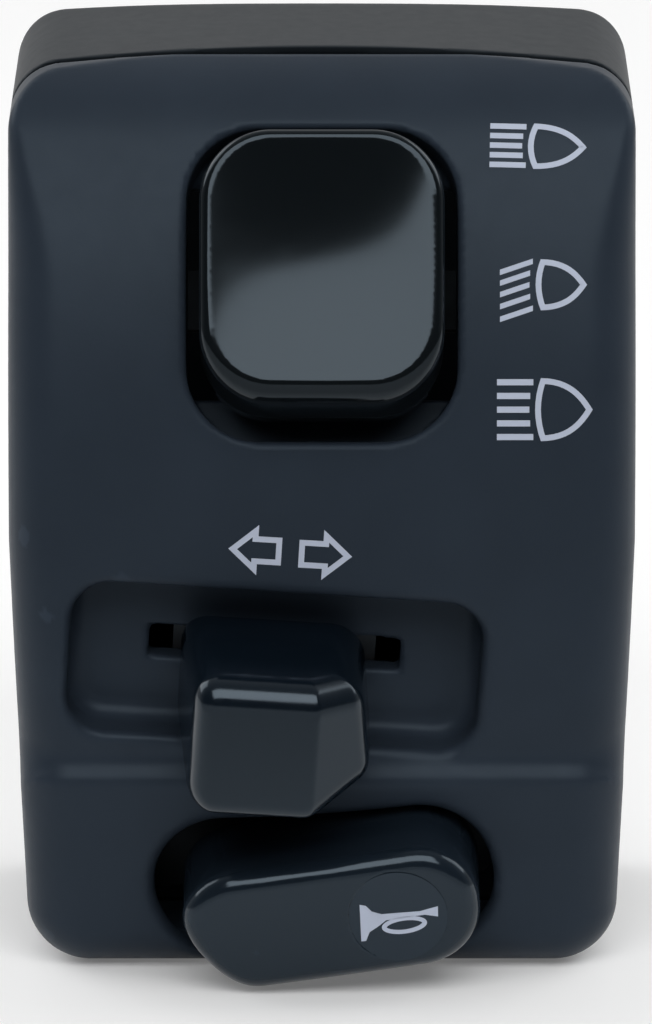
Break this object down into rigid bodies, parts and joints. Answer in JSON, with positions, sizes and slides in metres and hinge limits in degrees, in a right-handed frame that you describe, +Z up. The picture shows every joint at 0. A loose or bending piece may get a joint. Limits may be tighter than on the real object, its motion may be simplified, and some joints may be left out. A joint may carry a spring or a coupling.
{
  "type": "handlebar switch cluster",
  "caption": "Left-hand motorbike switch cluster: a two-piece clamp housing on a round bar, with a headlight rocker, a sliding turn-signal knob and a push horn button.",
  "frame": {"origin": "on the handlebar's axis, at the middle of the housing's width", "axes": "+X along the bar towards the middle of the motorbike, -Y towards the rider, +Z up"},
  "size_m": [0.046, 0.0529, 0.0678],
  "materials": {
    "shell": "satin black moulded plastic with a fine grain",
    "shell_front": "matt dark grey moulded plastic",
    "rocker": "glossy black plastic",
    "knob": "semi-gloss black plastic",
    "horn": "satin black plastic",
    "steel": "zinc plated",
    "spring_steel": "drawn spring wire",
    "brass": "bright brass",
    "grommet": "soft black rubber",
    "phenolic": "black phenolic laminate",
    "acetal": "black acetal"
  },
  "bodies": {
    "housing": {"rear_shell": "shell", "front_shell": "shell_front", "clamp_screws": "steel", "clamp_washers": "steel", "threaded_inserts": "brass", "cable_grommet": "grommet", "rocker_pivot_pins": "steel", "headlight_base": "phenolic", "headlight_base_screws": "steel", "headlight_terminals": "brass", "turn_centring_springs": "spring_steel", "turn_base": "phenolic", "turn_base_screws": "steel", "turn_terminals": "brass", "horn_return_spring": "spring_steel", "horn_base": "phenolic", "horn_base_screws": "steel", "horn_contact_rivets": "brass"},
    "rocker": {"rocker_cap": "rocker", "rocker_detent_spring": "spring_steel"},
    "rocker_plunger": {"rocker_detent_plunger": "brass"},
    "headlight_slider": {"headlight_contact_slider": "acetal", "headlight_contact_bridge": "brass"},
    "turn_slide": {"turn_carriage": "acetal", "turn_contact_bridge": "brass", "turn_cancel_spring": "spring_steel", "turn_detent_spring": "spring_steel"},
    "turn_push": {"turn_knob": "knob", "turn_stem_clip": "spring_steel"},
    "turn_ball": {"turn_detent_ball": "steel"},
    "horn": {"horn_button": "horn", "horn_inset": "horn", "horn_contact_bridge": "brass", "horn_stem_clip": "spring_steel"}
  },
  "joints": [
    {"name": "rocker_tilt", "type": "hinge", "parent": "housing", "child": "rocker", "pos_m": [0, -0.02025, 0.00671], "axis": [1, 0, 0], "range_deg": [-8, 8]},
    {"name": "rocker_plunger_slide", "type": "slide", "parent": "rocker", "child": "rocker_plunger", "axis": [0, -0.9357, 0.3527], "range_m": [0, 0.0006], "stiffness_N_per_m": 600, "springref_m": -0.0006, "deforming": ["rocker_detent_spring"]},
    {"name": "headlight_contact_slide", "type": "slide", "parent": "housing", "child": "headlight_slider", "axis": [0, 0.3527, 0.9357], "range_m": [-0.00055, 0.00055]},
    {"name": "turn_slide", "type": "slide", "parent": "housing", "child": "turn_slide", "axis": [0.9978, 0.0092, -0.0656], "range_m": [-0.005, 0.005], "deforming": ["turn_centring_springs"]},
    {"name": "turn_cancel_push", "type": "slide", "parent": "turn_slide", "child": "turn_push", "axis": [0, 0.9903, 0.1392], "range_m": [0, 0.0015], "stiffness_N_per_m": 900, "springref_m": -0.001, "deforming": ["turn_cancel_spring"]},
    {"name": "turn_ball_slide", "type": "slide", "parent": "turn_slide", "child": "turn_ball", "axis": [-0.0663, 0.1389, -0.9881], "range_m": [0, 0.0005], "stiffness_N_per_m": 500, "springref_m": -0.0005, "deforming": ["turn_detent_spring"]},
    {"name": "horn_push", "type": "slide", "parent": "housing", "child": "horn", "axis": [0, 0.9781, 0.2079], "range_m": [0, 0.0025], "stiffness_N_per_m": 700, "springref_m": -0.0015, "deforming": ["horn_return_spring"]}
  ],
  "couplings": [
    {"joint": "rocker_tilt", "follows": "headlight_contact_slide", "rad_per_m": 253.16}
  ]
}
